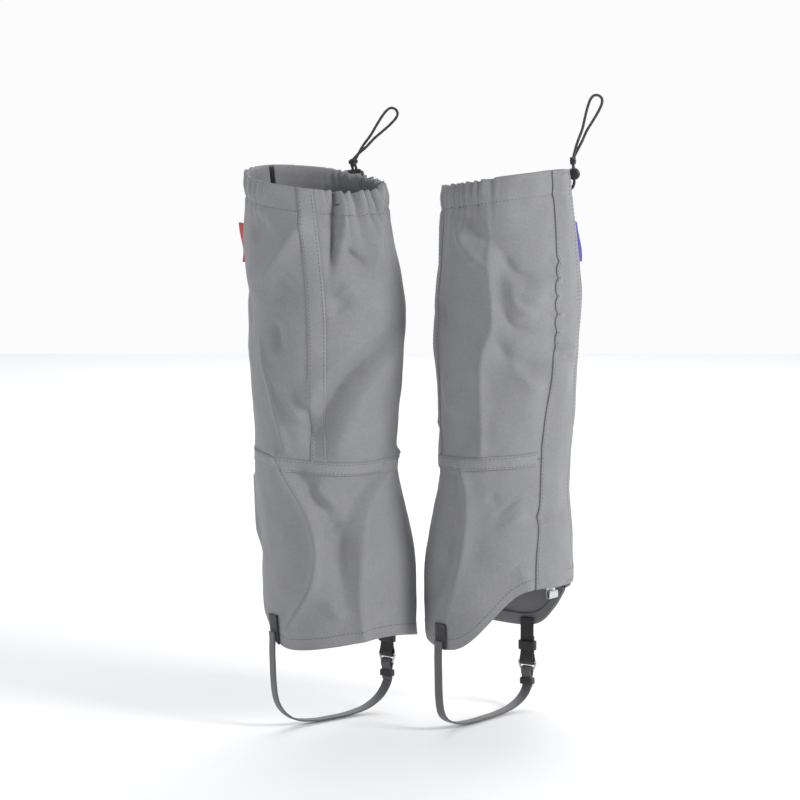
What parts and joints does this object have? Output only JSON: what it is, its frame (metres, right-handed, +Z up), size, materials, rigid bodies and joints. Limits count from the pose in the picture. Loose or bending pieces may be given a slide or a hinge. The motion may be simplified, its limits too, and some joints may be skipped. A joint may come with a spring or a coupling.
{
  "type": "gaiters",
  "caption": "Pair of knee-high cloth gaiters with front flap closures, top drawcords with cord locks, lace hooks and instep straps.",
  "frame": {"origin": "midway between the two legs, in the plane of the soles", "axes": "+Z up, the wearer faces -Y, the left gaiter is at +X"},
  "size_m": [0.3356, 0.1492, 0.5876],
  "materials": {
    "canvas": "matt plain-weave polyester canvas",
    "facing": "matt coated inner face",
    "tape": "hook-and-loop pile",
    "webbing": "woven nylon webbing",
    "strap": "ribbed matt strap",
    "acetal": "satin moulded",
    "nickel": "satin nickel plate",
    "spring_steel": "bright wire",
    "elastic_cord": "braided sheath",
    "red_label": "satin woven label, blank",
    "violet_label": "satin woven label, blank"
  },
  "bodies": {
    "garments": {"left_upper_shell": "canvas", "left_lower_shell": "canvas", "left_top_casing": "facing", "left_calf_band": "canvas", "left_seam_strip": "canvas", "left_hem_facing": "facing", "left_hook_tape": "tape", "left_lace_hook": "nickel", "left_lace_hook_rivet": "nickel", "left_drawcord": "elastic_cord", "left_drawcord_in_tunnel": "elastic_cord", "left_cord_eyelet": "acetal", "left_cord_knot": "elastic_cord", "left_strap_tab": "webbing", "left_label": "violet_label", "right_upper_shell": "canvas", "right_lower_shell": "canvas", "right_top_casing": "facing", "right_calf_band": "canvas", "right_seam_strip": "canvas", "right_hem_facing": "facing", "right_hook_tape": "tape", "right_lace_hook": "nickel", "right_lace_hook_rivet": "nickel", "right_drawcord": "elastic_cord", "right_drawcord_in_tunnel": "elastic_cord", "right_cord_eyelet": "acetal", "right_cord_knot": "elastic_cord", "right_strap_tab": "webbing", "right_label": "red_label"},
    "left_flap": {"left_closure_flap": "canvas", "left_loop_tape": "tape"},
    "left_lock": {"left_cord_lock_body": "acetal", "left_cord_lock_spring": "spring_steel"},
    "left_button": {"left_cord_lock_button": "acetal"},
    "left_strap": {"left_buckle_webbing": "webbing", "left_strap_ring": "nickel", "left_instep_strap": "strap", "left_strap_keeper": "webbing"},
    "left_slider": {"left_strap_slider": "acetal"},
    "right_flap": {"right_closure_flap": "canvas", "right_loop_tape": "tape"},
    "right_lock": {"right_cord_lock_body": "acetal", "right_cord_lock_spring": "spring_steel"},
    "right_button": {"right_cord_lock_button": "acetal"},
    "right_strap": {"right_buckle_webbing": "webbing", "right_strap_ring": "nickel", "right_instep_strap": "strap", "right_strap_keeper": "webbing"},
    "right_slider": {"right_strap_slider": "acetal"}
  },
  "joints": [
    {"name": "left_flap_hinge", "type": "hinge", "parent": "garments", "child": "left_flap", "pos_m": [0.11389, -0.07105, 0.137], "axis": [-0.0455, -0.0604, -0.9971], "range_deg": [0, 70]},
    {"name": "left_strap_swing", "type": "hinge", "parent": "garments", "child": "left_strap", "pos_m": [0.10687, 0.05723, 0.08043], "axis": [-0.6321, -0.7749, -0.0017], "range_deg": [-12, 12]},
    {"name": "left_slider_slide", "type": "slide", "parent": "left_strap", "child": "left_slider", "axis": [0, 0, 1], "range_m": [-0.002, 0.003]},
    {"name": "left_lock_slide", "type": "slide", "parent": "garments", "child": "left_lock", "axis": [-0.071, 0.0026, 0.9975], "range_m": [-0.0025, 0.0018]},
    {"name": "left_button_press", "type": "slide", "parent": "left_lock", "child": "left_button", "axis": [-0.0305, -0.9995, 0.0005], "range_m": [0, 0.0025], "stiffness_N_per_m": 300, "springref_m": -0.002},
    {"name": "right_flap_hinge", "type": "hinge", "parent": "garments", "child": "right_flap", "pos_m": [-0.14397, 0.03522, 0.137], "axis": [-0.0073, 0.0293, 0.9995], "range_deg": [0, 70]},
    {"name": "right_strap_swing", "type": "hinge", "parent": "garments", "child": "right_strap", "pos_m": [-0.02674, 0.04969, 0.09049], "axis": [-0.7776, -0.628, -0.0316], "range_deg": [-12, 12]},
    {"name": "right_slider_slide", "type": "slide", "parent": "right_strap", "child": "right_slider", "axis": [0, 0, 1], "range_m": [-0.002, 0.003]},
    {"name": "right_lock_slide", "type": "slide", "parent": "garments", "child": "right_lock", "axis": [-0.1579, -0.0511, 0.9861], "range_m": [-0.0025, 0.0018]},
    {"name": "right_button_press", "type": "slide", "parent": "right_lock", "child": "right_button", "axis": [-0.8579, 0.5017, -0.1114], "range_m": [0, 0.0025], "stiffness_N_per_m": 300, "springref_m": -0.002}
  ]
}
